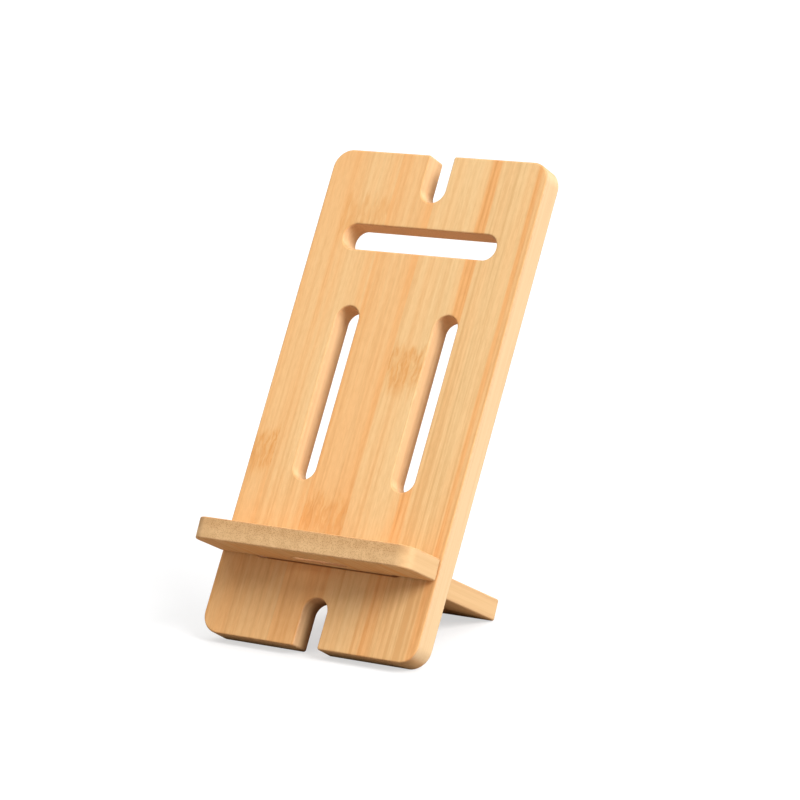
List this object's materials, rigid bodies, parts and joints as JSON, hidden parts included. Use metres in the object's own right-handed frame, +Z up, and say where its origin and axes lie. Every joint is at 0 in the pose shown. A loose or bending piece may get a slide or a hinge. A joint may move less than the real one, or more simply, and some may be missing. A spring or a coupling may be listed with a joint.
{
  "type": "phone stand",
  "caption": "Leaning slotted board with a T-shaped piece through it that makes a phone shelf in front and a leg behind.",
  "frame": {"origin": "on the table, under the middle of the stand's width and depth", "axes": "+Z up, +X to the right of someone facing the phone, -Y towards that person"},
  "size_m": [0.08, 0.0874, 0.1432],
  "materials": {
    "bamboo_board": "sanded, clear oil, satin",
    "bamboo_shelf": "sanded, clear oil, satin"
  },
  "bodies": {
    "board": {"back_board": "bamboo_board"},
    "shelf": {"shelf_leg": "bamboo_shelf"}
  },
  "joints": [
    {"name": "shelf_slide", "type": "slide", "parent": "board", "child": "shelf", "axis": [0, -0.9033, 0.4289], "range_m": [0, 0.065]}
  ]
}
